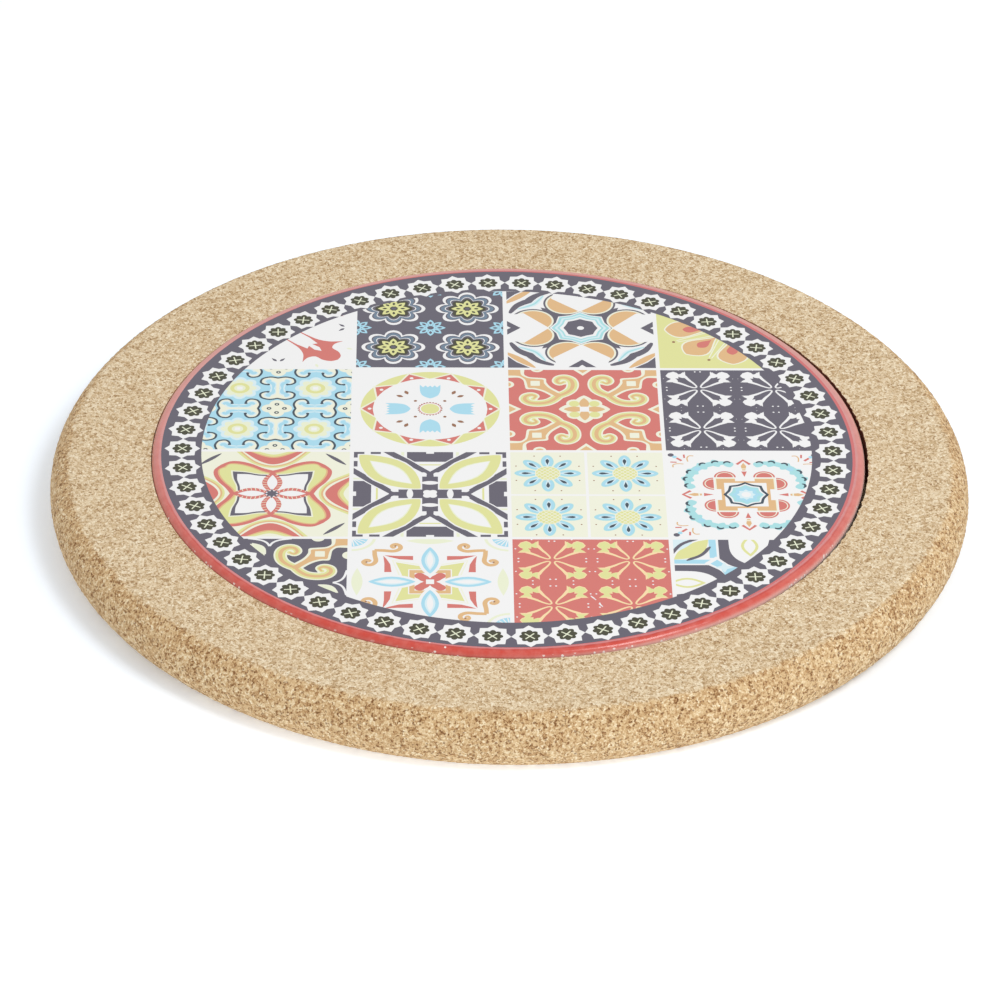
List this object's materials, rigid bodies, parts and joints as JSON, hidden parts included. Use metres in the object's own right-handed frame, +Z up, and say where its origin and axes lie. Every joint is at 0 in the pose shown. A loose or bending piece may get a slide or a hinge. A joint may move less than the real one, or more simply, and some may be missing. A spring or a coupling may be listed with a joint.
{
  "type": "table trivet",
  "caption": "Round trivet that keeps hot dishes off a table: a thick cork disc with a rounded edge, and a printed, glazed ceramic tile glued into its top.",
  "frame": {"origin": "centre of the cork disc's underside, on the table", "axes": "+Z up along the cork disc's axis; +Y away from the viewer of the picture, +X to the viewer's right"},
  "size_m": [0.2, 0.2, 0.0146],
  "materials": {
    "cork": "agglomerated cork granules, faces sanded smooth, edge cut and rough",
    "biscuit": "unglazed pressed white earthenware, matt",
    "red_glaze": "red glaze, glossy, thin and pale at its lower edge",
    "printed_glaze": "ceramic print under clear glaze, glossy",
    "adhesive": "set white adhesive, satin"
  },
  "bodies": {
    "root": {"cork_base": "cork", "tile_body": "biscuit", "rim_glaze": "red_glaze", "face_print": "printed_glaze", "adhesive_beads": "adhesive"}
  },
  "joints": []
}
